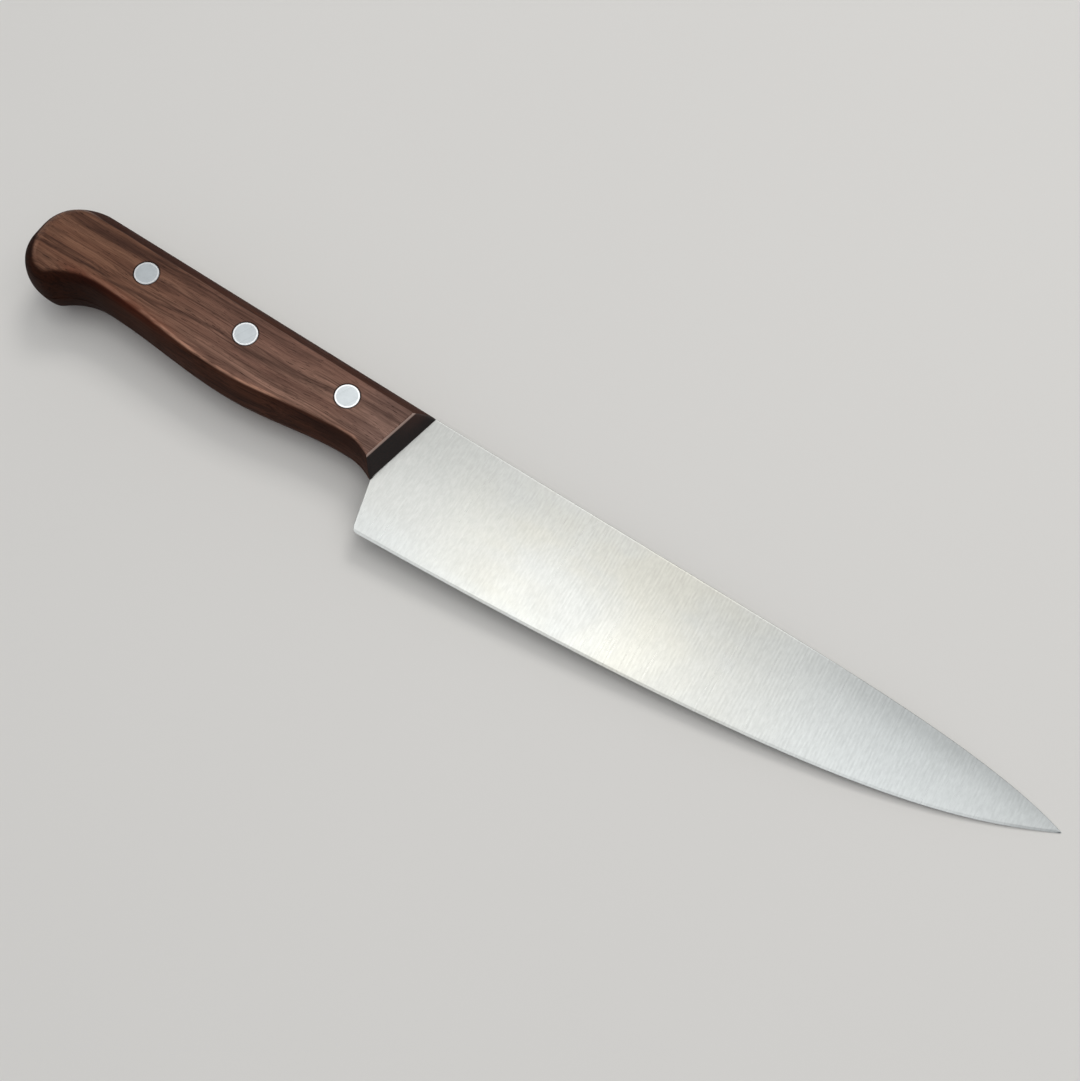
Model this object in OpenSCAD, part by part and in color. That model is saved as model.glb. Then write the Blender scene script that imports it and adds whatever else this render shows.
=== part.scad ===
// Chef knife: a ground steel blade with an integral flat tang, held between two wood scales
// by three two-part cutler's rivets. The knife lies on its side, +X towards the tip, +Y
// towards the spine and +Z through the thickness, with the origin under the middle of its
// box. Inside the modules, x = 0 is the front of the handle, y = 0 the line of the spine
// and z = 0 the middle of the steel. Sizes are in millimetres and degrees.

/* [Blade] */
// Length of the blade, from the front of the handle at the spine to the tip
blade_len = 190; // [150:1:240]
// Height of the blade from the spine to the edge at the heel
heel_h = 38; // [32:0.5:50]
// Thickness of the steel at the spine and in the tang
steel_t = 2; // [1.6:0.1:3]
// Thickness of the steel just above the sharpened edge
edge_t = 0.4; // [0.3:0.05:0.6]
// Height of the sharpened bevel along the edge
bevel_h = 0.7; // [0.4:0.1:1.2]
// Drop of the tip below the line of the spine
tip_drop = 7; // [4:0.5:14]
// Forward lean of the heel's back edge
heel_lean = 16; // [5:1:25]
// Rounding of the heel's lower corner
heel_r = 2; // [1:0.5:4]

/* [Tang] */
// Length of the tang inside the handle, measured along the spine
tang_len = 104; // [98:1:106]
// Height of the tang behind its shoulder
tang_h = 17; // [16:0.5:18]
// Height of the tang at its rear end
tang_end_h = 15.5; // [15:0.5:17]
// Rounding of the lower corner at the tang's rear end
tang_end_r = 4; // [1:0.5:6]
// Length of the slope between the handle's front and the tang's full shoulder
tang_shoulder = 7; // [5:0.5:9]
// Wood that covers the tang's lower corner at the handle's front
tang_cover = 1; // [0.6:0.1:2]
// Gap between the tang and the wood at its lower edge and its rear end
tang_gap = 0.05; // [0.02:0.01:0.15]

/* [Handle] */
// Length of the handle along the spine
handle_len = 123.5; // [119:0.5:150]
// Thickness of the handle over both scales
handle_t = 18; // [15:0.5:22]
// Distance by which the rounded back and belly stand out beyond the flat sides
side_bulge = 4.7; // [2:0.1:5]
// Height of the handle at its front
front_h = 24; // [22:0.5:29]
// Slant of the handle's front, which runs back from the spine to the belly
front_slant = 12; // [5:1:16]
// Backward lean of the front bevel from upright
front_lean = 20; // [10:1:35]
// Rise of the handle's back above the spine at the butt
back_rise = 1; // [0:0.1:2]

/* [Handle belly] */
// Depth of the waist, the narrow place behind the front, below the spine
waist_depth = 21.2; // [20:0.1:21.5]
// Distance of the waist behind the front of the handle
waist_x = 15; // [13:0.5:17]
// Depth of the swell in the palm below the spine
swell_depth = 25.1; // [22:0.1:28]
// Distance of the swell behind the front of the handle
swell_x = 54; // [45:1:65]
// Depth of the notch for the little finger below the spine
notch_depth = 22.6; // [21:0.1:24]
// Distance of the notch behind the front of the handle
notch_x = 96; // [88:1:98]
// Depth of the beak, the hook at the butt, below the spine
beak_depth = 28.3; // [26.5:0.1:30]
// Rounding of the beak's tip
beak_tip_r = 5.5; // [5.5:0.5:8]
// Radius of the butt's upper corner
butt_r = 14; // [10:0.5:15]
// Radius of the butt's lower corner, which ends in the beak
beak_r = 12.2; // [10:0.1:13.5]

/* [Rivets] */
// Diameter of the rivet heads
head_d = 7; // [6:0.5:8.5]
// Height of the rivet heads
head_h = 3; // [2:0.5:4]
// Outside diameter of the rivet barrels
barrel_d = 4; // [3.6:0.1:4.8]
// Diameter of the rivet pins
pin_d = 2.8; // [2.2:0.1:3]
// Depth of the rivets' centre line below the spine
rivet_depth = 10.1; // [9:0.1:11]
// Distance of the front rivet behind the front of the handle
rivet_x = 21; // [18:0.5:25]
// Distance from each rivet to the next
rivet_pitch = 33; // [28:0.5:35]
// Radial gap between a head and its counterbore
head_gap = 0.05; // [0.02:0.01:0.1]
// Radial gap between a barrel and its hole
barrel_gap = 0.05; // [0.02:0.01:0.1]
// Radial gap between a pin and its barrel
pin_gap = 0.02; // [0.01:0.01:0.05]
// Length by which a pin stops short of the bottom of its barrel
pin_relief = 0.5; // [0.3:0.1:1]
// Length by which a barrel stops short of the head on the other side
barrel_relief = 0.3; // [0.2:0.1:1]
// Steel between the bottom of a barrel's hole and the face of its head
barrel_floor = 1.2; // [0.8:0.1:1.6]

/* [Hidden] */
$fn = 96;

half_t = handle_t / 2;
half_steel = steel_t / 2;
reach = 80;
mid_x = (blade_len - handle_len) / 2;
mid_y = (back_rise - max(heel_h, beak_depth)) / 2;

// ---- Curves ----

function bezier(p, t) =
    pow(1 - t, 3) * p[0] + 3 * pow(1 - t, 2) * t * p[1]
    + 3 * (1 - t) * t * t * p[2] + pow(t, 3) * p[3];

// Height of a curve at x. The curve runs steadily in +X, so halving finds the place.
function bezier_y(p, x, lo = 0, hi = 1, turns = 24) =
    let (mid = (lo + hi) / 2, at = bezier(p, mid))
    turns == 0 ? at.y
    : at.x < x ? bezier_y(p, x, mid, hi, turns - 1)
    : bezier_y(p, x, lo, mid, turns - 1);

// Points of an arc, each with the direction away from the material: [x, y, dx, dy].
// The direction points away from the centre on a corner, and towards it in a hollow.
// An arc that carries on from the point before it leaves out its own first point.
function arc(centre, r, from, to, steps, hollow = false, carries_on = false) =
    [for (i = [carries_on ? 1 : 0:steps])
        let (a = from + (to - from) * i / steps, s = hollow ? -1 : 1)
        [centre.x + r * cos(a), centre.y + r * sin(a), s * cos(a), s * sin(a)]];

// Points of a half-cosine between two depths, each with the direction out of the belly.
function wave(from, to, steps) =
    [for (i = [1:steps])
        let (t = i / steps,
             slope = (to.y - from.y) / (to.x - from.x) * PI / 2 * sin(180 * t),
             n = norm([slope, 1]))
        [from.x + (to.x - from.x) * t,
         from.y + (to.y - from.y) * (1 - cos(180 * t)) / 2, slope / n, -1 / n]];

function places(points) = [for (p = points) [p.x, p.y]];

// ---- Blade ----

front_setback = front_h * tan(front_slant);
front_low = [-front_setback, -front_h];
tang_front = front_low + tang_cover * [sin(front_slant), cos(front_slant)];
heel_foot = -front_setback + (heel_h - front_h) * tan(heel_lean);
heel_centre = [heel_foot + heel_r * (1 / cos(heel_lean) - tan(heel_lean)), heel_r - heel_h];
tip = [blade_len, -tip_drop];
tip_flat = 0.3;
edge_land = 0.05;
spine_curve = [[0.37 * blade_len, 0], [0.62 * blade_len, 0],
               tip + [-0.126 * blade_len, 8], tip];
edge_curve = [[heel_centre.x, -heel_h], [0.73 * blade_len, -0.82 * heel_h],
              tip + [-0.12 * blade_len, -0.3 * heel_h], tip - [0, tip_flat]];
wedge_start = -front_setback - 4;
wedge_steps = 48;

function spine_y(x) = x <= spine_curve[0].x ? 0 : bezier_y(spine_curve, x);
function edge_y(x) = x <= heel_centre.x ? -heel_h : bezier_y(edge_curve, x);

// The flat grind keeps one angle, so the spine thins as the blade narrows.
function spine_half(x) =
    edge_t / 2 + (half_steel - edge_t / 2) * (spine_y(x) - edge_y(x)) / heel_h;

// Stations crowd together towards the tip, where the blade curves most.
function station_x(i) = wedge_start + (blade_len - wedge_start) * sin(90 * i / wedge_steps);

// One cross-section: down one side from the spine to the edge, and up the other.
function station(x) =
    let (top = spine_y(x), low = edge_y(x), shoulder = min(low + bevel_h, (top + low) / 2))
    [[x, top, spine_half(x)], [x, shoulder, edge_t / 2], [x, low, edge_land],
     [x, low, -edge_land], [x, shoulder, -edge_t / 2], [x, top, -spine_half(x)]];

module ground_wedge() {
    sides = [for (i = [0:wedge_steps - 1]) for (j = [0:5])
        let (k = (j + 1) % 6)
        [6 * i + j, 6 * (i + 1) + j, 6 * (i + 1) + k, 6 * i + k]];
    rear = [for (j = [0:5]) j];
    front = [for (j = [5:-1:0]) 6 * wedge_steps + j];
    polyhedron([for (i = [0:wedge_steps]) each station(station_x(i))],
               concat(sides, [rear, front]));
}

// Everything ahead of the heel's back edge and of a line just inside the handle.
module blade_area() {
    inside = [-front_setback / 2, 0];
    polygon(concat(
        [inside + [0, reach], inside, tang_front, front_low],
        places(arc(heel_centre, heel_r, 180 + heel_lean, 270, 8)),
        [[heel_centre.x, -reach], [blade_len + reach, -reach],
         [blade_len + reach, reach]]));
}

// The lower edge of the tang from its rear end to its front, moved out by a margin.
function tang_low(margin) =
    concat(
        places(arc([tang_end_r - tang_len, back_y(-tang_len) + tang_end_r - tang_end_h],
                   tang_end_r + margin, 180, 270, 12)),
        [[-front_setback - tang_shoulder, -tang_h - margin], tang_front - [0, margin]]);

module tang_area() {
    polygon(concat([[0, 0], [-tang_len, back_y(-tang_len)]], tang_low(0)));
}

module blade() {
    color([0.80, 0.81, 0.80])
    placed()
    difference() {
        union() {
            intersection() {
                ground_wedge();
                linear_extrude(4 * steel_t, center = true) blade_area();
            }
            linear_extrude(steel_t, center = true) tang_area();
        }
        at_rivets([0, 1, 2])
            cylinder(h = 2 * steel_t, d = barrel_d + 2 * barrel_gap, center = true);
    }
}

// ---- Handle scales ----

beak_centre = [beak_r - handle_len, beak_r - beak_depth];
butt_centre = [butt_r - handle_len, back_rise - butt_r];
notch = [-notch_x, -notch_depth];
swell = [-swell_x, -swell_depth];
waist = [-waist_x, -waist_depth];

// The beak's inner side is two arcs that meet on one slope, at beak_turn.
beak_run = notch.x - beak_centre.x;
beak_drop = beak_depth - notch_depth;
beak_turn = 2 * atan(beak_drop / beak_run);
notch_r = (pow(beak_run, 2) + pow(beak_drop, 2)) / (2 * beak_drop) - beak_tip_r;

// The flare is one arc that leaves the waist level and ends at the handle's lower front.
flare = front_low - waist;
flare_r = (pow(flare.x, 2) + pow(flare.y, 2)) / (-2 * flare.y);
flare_centre = waist - [0, flare_r];

// Height of the handle's back above the line of the spine.
back_slope = back_rise / butt_centre.x;
function back_y(x) = back_slope * x;

// The widest outline of the handle, from the back's rear end around to the waist.
outline = concat(
    arc(butt_centre, butt_r, 90, 180, 14),
    arc(beak_centre, beak_r, 180, 270, 14),
    arc([beak_centre.x, beak_tip_r - beak_depth], beak_tip_r, 270, 270 + beak_turn, 5,
        carries_on = true),
    arc(notch - [0, notch_r], notch_r, 90 + beak_turn, 90, 8, hollow = true,
        carries_on = true),
    wave(notch, swell, 12),
    wave(swell, waist, 12));

// The back and the belly are arcs in cross-section, from the joint to the flat side.
side_r = (pow(half_t, 2) + pow(side_bulge, 2)) / (2 * side_bulge);
function inset_at(z) = side_r - sqrt(pow(side_r, 2) - pow(z, 2));

// The front is upright beside the steel, and above it the bevel leans back.
function setback_at(z) = max(0, z - half_steel) * tan(front_lean) / cos(front_slant);

// The level outline at height z: the back's front end, the outline and then the flare.
function ring(z) =
    let (inset = inset_at(z),
         back = setback_at(z),
         top = -(back_slope * back + inset) / (1 - back_slope * tan(front_slant)),
         r = flare_r + inset,
         run = flare_centre.y * tan(front_slant) - back - flare_centre.x,
         end = acos(cos(front_slant) * run / r) - front_slant)
    [for (p = concat(
        [[top * tan(front_slant) - back, top]],
        [for (p = outline) [p.x - p[2] * inset, p.y - p[3] * inset]],
        places(arc(flare_centre, r, 90, end, 8, carries_on = true))))
        [p.x, p.y, z]];

side_steps = 6;
levels = concat([0], [for (i = [0:side_steps])
    half_steel + (half_t - half_steel) * sin(90 * i / side_steps)]);

// Plain walls carry the loft past the joint and the flat side, which a slab then trims.
module rounded_half() {
    over = 1;
    rings = concat(
        [[for (p = ring(levels[0])) [p.x, p.y, -over]]],
        [for (z = levels) ring(z)],
        [[for (p = ring(half_t)) [p.x, p.y, half_t + over]]]);
    count = len(rings[0]);
    last = len(rings) - 1;
    sides = [for (i = [0:last - 1]) for (j = [0:count - 1])
        let (k = (j + 1) % count)
        [count * i + j, count * (i + 1) + j, count * (i + 1) + k, count * i + k]];
    low = [for (j = [0:count - 1]) j];
    high = [for (j = [count - 1:-1:0]) count * last + j];
    intersection() {
        polyhedron([for (r = rings) each r], concat(sides, [low, high]));
        translate([-2 * reach, -reach, 0]) cube([3 * reach, 2 * reach, half_t]);
    }
}

// The pocket for the tang is open along the handle's back and at its front.
module tang_pocket() {
    linear_extrude(steel_t, center = true)
    polygon(concat(
        [[reach, reach], [-tang_len - tang_gap, reach]],
        tang_low(tang_gap),
        [[reach, tang_front.y - tang_gap]]));
}

module scale_half() {
    difference() {
        rounded_half();
        tang_pocket();
        at_rivets([0, 1, 2]) {
            cylinder(h = 3 * handle_t, d = barrel_d + 2 * barrel_gap, center = true);
            translate([0, 0, half_t - head_h])
                cylinder(h = 2 * head_h, d = head_d + 2 * head_gap);
        }
    }
}

module right_scale() {
    color([0.36, 0.23, 0.18]) placed() scale_half();
}

module left_scale() {
    color([0.33, 0.20, 0.15]) placed() mirror([0, 0, 1]) scale_half();
}

// ---- Rivets ----

// The head sits in the right scale, and the hollow barrel runs through the tang.
module rivet_barrel(i) {
    color([0.85, 0.87, 0.88])
    placed() at_rivets([i])
    difference() {
        union() {
            translate([0, 0, half_t - head_h]) cylinder(h = head_h, d = head_d);
            translate([0, 0, head_h + barrel_relief - half_t])
                cylinder(h = handle_t - 1.5 * head_h - barrel_relief, d = barrel_d);
        }
        translate([0, 0, -half_t])
            cylinder(h = handle_t - barrel_floor, d = pin_d + 2 * pin_gap);
    }
}

// The head sits in the left scale, and the solid pin runs up inside the barrel.
module rivet_pin(i) {
    color([0.80, 0.82, 0.83])
    placed() at_rivets([i]) {
        translate([0, 0, -half_t]) cylinder(h = head_h, d = head_d);
        translate([0, 0, head_h / 2 - half_t])
            cylinder(h = handle_t - head_h / 2 - barrel_floor - pin_relief, d = pin_d);
    }
}

// ---- Placing ----

module at_rivets(numbers) {
    for (i = numbers)
        translate([-rivet_x - i * rivet_pitch, -rivet_depth, 0]) children();
}

module placed() {
    translate([-mid_x, -mid_y, half_t]) children();
}

blade();
right_scale();
left_scale();
rivet_barrel(0);  // front_rivet_barrel
rivet_barrel(1);  // middle_rivet_barrel
rivet_barrel(2);  // rear_rivet_barrel
rivet_pin(0);  // front_rivet_pin
rivet_pin(1);  // middle_rivet_pin
rivet_pin(2);  // rear_rivet_pin
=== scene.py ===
"""Chef knife for a restaurant kitchen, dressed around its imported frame.

The knife lies on its side: +X runs to the tip, +Y to the spine and +Z up through the
thickness. Shapes are worked out in the maker's own millimetres, where x = 0 is the front
of the handle, y = 0 the line of the spine and z = 0 the middle of the steel. Layout turns
those places into the frame's metres.
"""

from __future__ import annotations

import logging
import math
from collections.abc import Callable, Sequence
from dataclasses import dataclass
from enum import Enum
from functools import cached_property

import bmesh
import bpy
import numpy as np
from mathutils import Matrix, Vector

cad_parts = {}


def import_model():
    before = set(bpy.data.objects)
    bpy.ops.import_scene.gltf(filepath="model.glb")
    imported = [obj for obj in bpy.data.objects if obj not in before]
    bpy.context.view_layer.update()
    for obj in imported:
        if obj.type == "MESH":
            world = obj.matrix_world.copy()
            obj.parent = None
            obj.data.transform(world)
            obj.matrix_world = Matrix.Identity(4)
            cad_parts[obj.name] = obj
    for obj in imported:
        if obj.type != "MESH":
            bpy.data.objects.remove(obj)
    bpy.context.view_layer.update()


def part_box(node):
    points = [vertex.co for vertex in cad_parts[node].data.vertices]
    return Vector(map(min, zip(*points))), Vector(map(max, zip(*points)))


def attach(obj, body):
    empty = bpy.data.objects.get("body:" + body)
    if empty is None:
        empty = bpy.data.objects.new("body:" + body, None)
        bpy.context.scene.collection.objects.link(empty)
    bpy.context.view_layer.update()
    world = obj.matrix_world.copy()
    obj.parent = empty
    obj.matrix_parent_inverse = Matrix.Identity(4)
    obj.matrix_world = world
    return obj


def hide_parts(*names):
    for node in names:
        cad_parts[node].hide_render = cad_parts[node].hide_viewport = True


LOG = logging.getLogger("chef_knife")
MM = 0.001
BODY = "root"
RIVET_DEPTH = 10.1
HEEL_HEIGHT = 38.0
CORNER_WELD = 1e-7
FINISH_WELD = 2e-7

Piece = bpy.types.Object
Material = bpy.types.Material
Tree = bpy.types.NodeTree
Point = tuple[float, float]
Place = tuple[float, float, float]
Colour = tuple[float, float, float]


class Slot(Enum):
    """Names of the record's material slots."""

    STEEL = "blade_steel"
    WOOD = "handle_wood"
    RIVET = "rivet_metal"


class Side(Enum):
    """The side of the steel that a piece lies on."""

    RIGHT = 1
    LEFT = -1


# ---- Places and curves ----


@dataclass(frozen=True)
class Layout:
    """Where the maker's millimetres lie in the frame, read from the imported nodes."""

    front_x: float
    spine_y: float
    mid_z: float
    blade_len: float
    handle_len: float
    half_t: float
    head_r: float
    rivets: tuple[Point, ...]

    @classmethod
    def from_frame(cls, rivet_depth: float) -> Layout:
        """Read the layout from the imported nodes.

        Args:
            rivet_depth: How far the rivets lie below the spine, in millimetres.

        Returns:
            The layout of the knife.
        """
        blade_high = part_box("blade")[1]
        low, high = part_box("right_scale")
        heads = [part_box(f"{name}_rivet_barrel") for name in ("front", "middle", "rear")]
        return cls(
            front_x=high.x,
            spine_y=(heads[0][0].y + heads[0][1].y) / 2 + rivet_depth * MM,
            mid_z=low.z,
            blade_len=(blade_high.x - high.x) / MM,
            handle_len=(high.x - low.x) / MM,
            half_t=(high.z - low.z) / MM,
            head_r=(heads[0][1].x - heads[0][0].x) / 2 / MM,
            rivets=tuple((((a.x + b.x) / 2 - high.x) / MM, -rivet_depth) for a, b in heads),
        )

    def at(self, x: float, y: float, z: float) -> Place:
        """Return a place given in the maker's millimetres as a place in the frame."""
        return (self.front_x + x * MM, self.spine_y + y * MM, self.mid_z + z * MM)


def arc(centre: Point, radius: float, start: float, end: float, steps: int) -> list[Point]:
    """Return points on an arc.

    Args:
        centre: Centre of the arc.
        radius: Radius of the arc.
        start: First angle, in degrees.
        end: Last angle, in degrees.
        steps: Number of steps from the first point to the last.

    Returns:
        The points, from the first angle to the last.
    """
    angles = [math.radians(angle) for angle in spread(start, end, steps)]
    return [(centre[0] + radius * math.cos(a), centre[1] + radius * math.sin(a)) for a in angles]


def bezier_height(knots: Sequence[Point], x: float) -> float:
    """Return the height of a cubic curve at x.

    Args:
        knots: The curve's four points, whose x grows steadily.
        x: Place along the curve.

    Returns:
        The curve's y at x.
    """
    low, high = 0.0, 1.0
    for _ in range(30):
        t = (low + high) / 2
        s = 1 - t
        weights = (s**3, 3 * s * s * t, 3 * s * t * t, t**3)
        if sum(w * k[0] for w, k in zip(weights, knots)) < x:
            low = t
        else:
            high = t
    return sum(w * k[1] for w, k in zip(weights, knots))


def spread(first: float, last: float, steps: int) -> list[float]:
    """Return evenly spaced numbers from the first to the last."""
    return [first + (last - first) * i / steps for i in range(steps + 1)]


def smooth(t: float) -> float:
    """Return t eased at both ends of the range from 0 to 1."""
    return t * t * (3 - 2 * t)


Track = Callable[[float], tuple[Point, Point]]


def straight(a: Point, b: Point) -> Track:
    """Return a straight stretch of outline.

    Args:
        a: Where it starts.
        b: Where it ends.

    Returns:
        The place and the outward direction at each share of the way, with the outside on the right.
    """
    run, rise = b[0] - a[0], b[1] - a[1]
    out = (rise / math.hypot(run, rise), -run / math.hypot(run, rise))
    return lambda t: ((a[0] + run * t, a[1] + rise * t), out)


def bend(centre: Point, radius: float, start: float, end: float) -> Track:
    """Return an arc of outline.

    Args:
        centre: Centre of the arc.
        radius: Radius of the arc.
        start: First angle, in degrees.
        end: Last angle, in degrees; less than the first where the outline is hollow.

    Returns:
        The place and the outward direction at each share of the way.
    """
    sign = 1 if end > start else -1

    def spot(t: float) -> tuple[Point, Point]:
        """Return one place on the arc.

        Args:
            t: Share of the way.

        Returns:
            The place and its outward direction.
        """
        a = math.radians(start + (end - start) * t)
        cos, sin = math.cos(a), math.sin(a)
        return (centre[0] + radius * cos, centre[1] + radius * sin), (sign * cos, sign * sin)

    return spot


def wave(a: Point, b: Point) -> Track:
    """Return a half-cosine of outline.

    Args:
        a: Where it starts.
        b: Where it ends.

    Returns:
        The place and the outward direction at each share of the way, with the outside below.
    """

    def spot(t: float) -> tuple[Point, Point]:
        """Return one place on the wave.

        Args:
            t: Share of the way.

        Returns:
            The place and its outward direction.
        """
        slope = (b[1] - a[1]) / (b[0] - a[0]) * math.pi / 2 * math.sin(math.pi * t)
        n = math.hypot(slope, 1)
        height = a[1] + (b[1] - a[1]) * (1 - math.cos(math.pi * t)) / 2
        return (a[0] + (b[0] - a[0]) * t, height), (slope / n, -1 / n)

    return spot


# ---- Meshes ----


def mesh_object(name: str, places: Sequence[Place], faces: Sequence[Sequence[int]]) -> Piece:
    """Make a closed mesh object with its faces turned outwards.

    Args:
        name: Name of the object and of its mesh.
        places: Corner places in the frame.
        faces: Corner numbers of each face.

    Returns:
        The linked object.
    """
    mesh = bpy.data.meshes.new(name)
    mesh.from_pydata(places, [], faces)
    made = bmesh.new()
    made.from_mesh(mesh)
    bmesh.ops.remove_doubles(made, verts=made.verts, dist=CORNER_WELD)
    bmesh.ops.recalc_face_normals(made, faces=made.faces)
    made.to_mesh(mesh)
    made.free()
    return link(bpy.data.objects.new(name, mesh))


def link(thing: Piece) -> Piece:
    """Add an object to the scene and return it."""
    bpy.context.scene.collection.objects.link(thing)
    return thing


def at_height(outline: Sequence[Point], z: float) -> list[Place]:
    """Return a flat outline's places at height z."""
    return [(x, y, z) for x, y in outline]


def stack(name: str, layout: Layout, rings: Sequence[Sequence[Place]]) -> Piece:
    """Make a closed solid from a stack of rings.

    Args:
        name: Name of the object.
        layout: Places of the knife.
        rings: The rings in order, in millimetres, all with the same number of places.

    Returns:
        The solid.
    """
    count, last = len(rings[0]), len(rings) - 1
    places = [layout.at(*spot) for ring in rings for spot in ring]
    faces: list[tuple[int, ...]] = [
        (count * k + i, count * k + (i + 1) % count, count * (k + 1) + (i + 1) % count, count * (k + 1) + i)
        for k in range(last)
        for i in range(count)
    ]
    faces += [tuple(range(count)), tuple(range(count * last, count * (last + 1)))]
    return mesh_object(name, places, faces)


def turned(name: str, layout: Layout, centre: Point, profile: Sequence[Point], steps: int) -> Piece:
    """Make a turned solid about an upright axis.

    Args:
        name: Name of the object.
        layout: Places of the knife.
        centre: Place of the axis, in millimetres.
        profile: Radius and height of each step, from one end to the other.
        steps: Number of steps round the axis.

    Returns:
        The solid.
    """
    rings = [at_height(arc(centre, radius, 0, 360 - 360 / steps, steps - 1), z) for radius, z in profile]
    return stack(name, layout, rings)


def settle(piece: Piece) -> None:
    """Turn what a piece's modifiers make of it into its plain mesh.

    Args:
        piece: The piece to settle.
    """
    bpy.context.view_layer.update()
    mesh = bpy.data.meshes.new_from_object(piece.evaluated_get(bpy.context.evaluated_depsgraph_get()))
    piece.modifiers.clear()
    piece.data = mesh
    mesh.name = piece.name


def combine(piece: Piece, tools: Sequence[Piece], operation: str) -> None:
    """Cut tools out of a piece or weld them to it, and remove them.

    Args:
        piece: The piece to change.
        tools: The solids to cut away or to weld on.
        operation: DIFFERENCE or UNION.
    """
    for tool in tools:
        change = piece.modifiers.new("combine", "BOOLEAN")
        change.operation = operation
        change.solver = "EXACT"
        change.object = tool
        settle(piece)
        bpy.data.objects.remove(tool)


def finish_mesh(piece: Piece, crease: float, *materials: Material) -> None:
    """Weld a mesh, shade it smooth with crisp edges and dress it.

    Args:
        piece: The piece to finish.
        crease: Angle in degrees past which an edge stays crisp.
        *materials: The finishes; every face starts with the first.
    """
    made = bmesh.new()
    made.from_mesh(piece.data)
    bmesh.ops.remove_doubles(made, verts=made.verts, dist=FINISH_WELD)
    bmesh.ops.dissolve_degenerate(made, edges=made.edges, dist=FINISH_WELD)
    for face in made.faces:
        face.smooth = True
        face.material_index = 0
    made.to_mesh(piece.data)
    made.free()
    piece.data.set_sharp_from_angle(angle=math.radians(crease))
    piece.data.materials.clear()
    for material in materials:
        piece.data.materials.append(material)


def place_piece(piece: Piece, slot: Slot, nodes: Sequence[str]) -> None:
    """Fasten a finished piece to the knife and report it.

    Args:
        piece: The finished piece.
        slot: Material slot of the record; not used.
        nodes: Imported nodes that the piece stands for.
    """
    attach(piece, BODY)
    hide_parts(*nodes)
    LOG.info("%s: %d faces, stands for %s", piece.name, len(piece.data.polygons), ", ".join(nodes))


# ---- Shader sheets ----

Socket = bpy.types.NodeSocket


@dataclass(frozen=True)
class Value:
    """A value on a sheet. Arithmetic with it adds nodes to the sheet."""

    sheet: Sheet
    socket: Socket

    def __add__(self, other: Input) -> Value:
        """Return the sum."""
        return self.sheet.math("ADD", self, other)

    def __sub__(self, other: Input) -> Value:
        """Return the difference."""
        return self.sheet.math("SUBTRACT", self, other)

    def __mul__(self, other: Input) -> Value:
        """Return the product."""
        return self.sheet.math("MULTIPLY", self, other)

    def __abs__(self) -> Value:
        """Return the value without its sign."""
        return self.sheet.math("ABSOLUTE", self)

    def ramp(self, low: float, high: float, to_low: float = 0.0, to_high: float = 1.0) -> Value:
        """Return a smooth step over this value.

        Args:
            low: Where the step starts.
            high: Where the step ends.
            to_low: Result before the step.
            to_high: Result after the step.

        Returns:
            The mapped value.
        """
        inputs = dict(enumerate((self, low, high, to_low, to_high)))
        return self.sheet.feed("ShaderNodeMapRange", inputs, interpolation_type="SMOOTHSTEP")


Input = Value | float | Sequence[float]
Inputs = dict[int | str, Input]


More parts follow.
